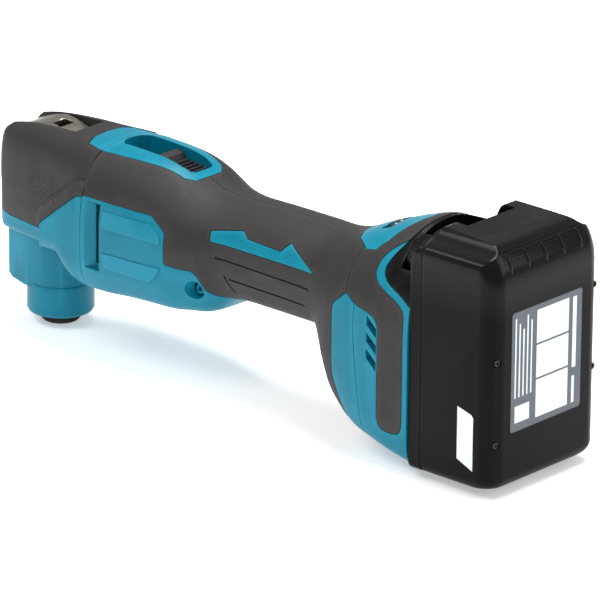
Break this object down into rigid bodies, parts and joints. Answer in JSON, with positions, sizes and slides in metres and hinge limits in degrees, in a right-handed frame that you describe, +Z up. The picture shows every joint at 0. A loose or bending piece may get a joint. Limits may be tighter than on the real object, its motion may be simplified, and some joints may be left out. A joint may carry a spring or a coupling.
{
  "type": "oscillating multi tool",
  "caption": "Cordless oscillating multi tool with a slide-on battery: angled head with a tool clamp, lock lever, slide switch, speed dial and rubber grip.",
  "frame": {"origin": "centre of the tool holder's flat face, on the spindle's axis, where a blade seats", "axes": "+X from the working head to the battery, +Y to the tool's right side, +Z up along the spindle away from the blade"},
  "size_m": [0.3287, 0.0766, 0.1184],
  "materials": {
    "teal_plastic": "fine moulded texture",
    "soft_grip": "matt overmould",
    "black_plastic": "moulded",
    "battery_shell": "glossy with a matt top",
    "steel": "machined",
    "dark_steel": "blackened",
    "cast_aluminium": "die cast",
    "copper": "enamelled wire and plated blades",
    "circuit_board": "solder mask",
    "cell_sleeve": "shrink sleeve"
  },
  "bodies": {
    "tool": {"gear_housing": "teal_plastic", "spindle_housing": "teal_plastic", "head_trim": "teal_plastic", "housing_left": "teal_plastic", "housing_right": "teal_plastic", "grip_inlay_left": "teal_plastic", "grip_inlay_right": "teal_plastic", "switch_bezel": "teal_plastic", "dial_cap": "teal_plastic", "rear_housing_left": "teal_plastic", "rear_housing_right": "teal_plastic", "head_cover": "soft_grip", "grip_left": "soft_grip", "grip_right": "soft_grip", "rear_bumper_left": "soft_grip", "rear_bumper_right": "soft_grip", "switch_module": "black_plastic", "terminal_block": "black_plastic", "dock_nose": "battery_shell", "lever_pin": "steel", "spindle_bearing_lower": "steel", "spindle_bearing_upper": "steel", "motor_bearing_front": "steel", "motor_bearing_rear": "steel", "speed_potentiometer": "steel", "stator": "dark_steel", "housing_screw": "dark_steel", "lever_cradle": "cast_aluminium", "bearing_plate": "cast_aluminium", "motor_bracket": "cast_aluminium", "controller_tray": "cast_aluminium", "winding_front": "copper", "winding_rear": "copper", "terminal_1": "copper", "terminal_2": "copper", "controller_board": "circuit_board"},
    "lever": {"lock_lever": "steel"},
    "spindle": {"spindle": "steel", "tool_holder": "dark_steel", "drive_fork": "steel", "clamp_spring": "steel"},
    "clamp": {"clamp_shaft": "steel"},
    "rotor": {"rotor_shaft": "steel", "eccentric_bearing": "steel", "rotor": "dark_steel", "cooling_fan": "black_plastic"},
    "switch": {"switch_slider": "black_plastic", "switch_link": "black_plastic"},
    "dial": {"speed_dial": "black_plastic"},
    "battery": {"battery_case": "battery_shell", "battery_cover": "battery_shell", "battery_board": "circuit_board", "cell_column_front": "cell_sleeve", "cell_column_rear": "cell_sleeve", "battery_screw_1": "dark_steel", "battery_screw_2": "dark_steel", "battery_screw_3": "dark_steel", "battery_screw_4": "dark_steel", "button_spring": "steel"},
    "button": {"battery_button": "battery_shell"}
  },
  "joints": [
    {"name": "lever_hinge", "type": "hinge", "parent": "tool", "child": "lever", "pos_m": [0.0085, 0, 0.092], "axis": [0, 1, 0], "range_deg": [0, 100]},
    {"name": "oscillation", "type": "hinge", "parent": "tool", "child": "spindle", "pos_m": [0, 0, 0.04], "axis": [0, 0, 1], "range_deg": [-1.8, 1.8]},
    {"name": "clamp_release", "type": "slide", "parent": "spindle", "child": "clamp", "axis": [0, 0, -1], "range_m": [0, 0.0036], "stiffness_N_per_m": 4, "springref_m": -0.002, "deforming": ["clamp_spring"]},
    {"name": "rotor_spin", "type": "hinge", "parent": "tool", "child": "rotor", "pos_m": [0.075, 0, 0.0665], "axis": [1, 0, 0], "continuous": true},
    {"name": "switch_slide", "type": "slide", "parent": "tool", "child": "switch", "axis": [-1, 0, 0], "range_m": [0, 0.0065]},
    {"name": "speed_turn", "type": "hinge", "parent": "tool", "child": "dial", "pos_m": [0.2156, 0, 0.0924], "axis": [1, 0, 0], "range_deg": [-135, 135]},
    {"name": "battery_slide", "type": "slide", "parent": "tool", "child": "battery", "axis": [0, 0, 1], "range_m": [0, 0.1]},
    {"name": "button_press", "type": "slide", "parent": "battery", "child": "button", "axis": [1, 0, 0], "range_m": [0, 0.003], "stiffness_N_per_m": 600, "springref_m": -0.001, "deforming": ["button_spring"]}
  ],
  "couplings": [
    {"joint": "clamp_release", "follows": "lever_hinge", "m_per_rad": 0.002}
  ]
}
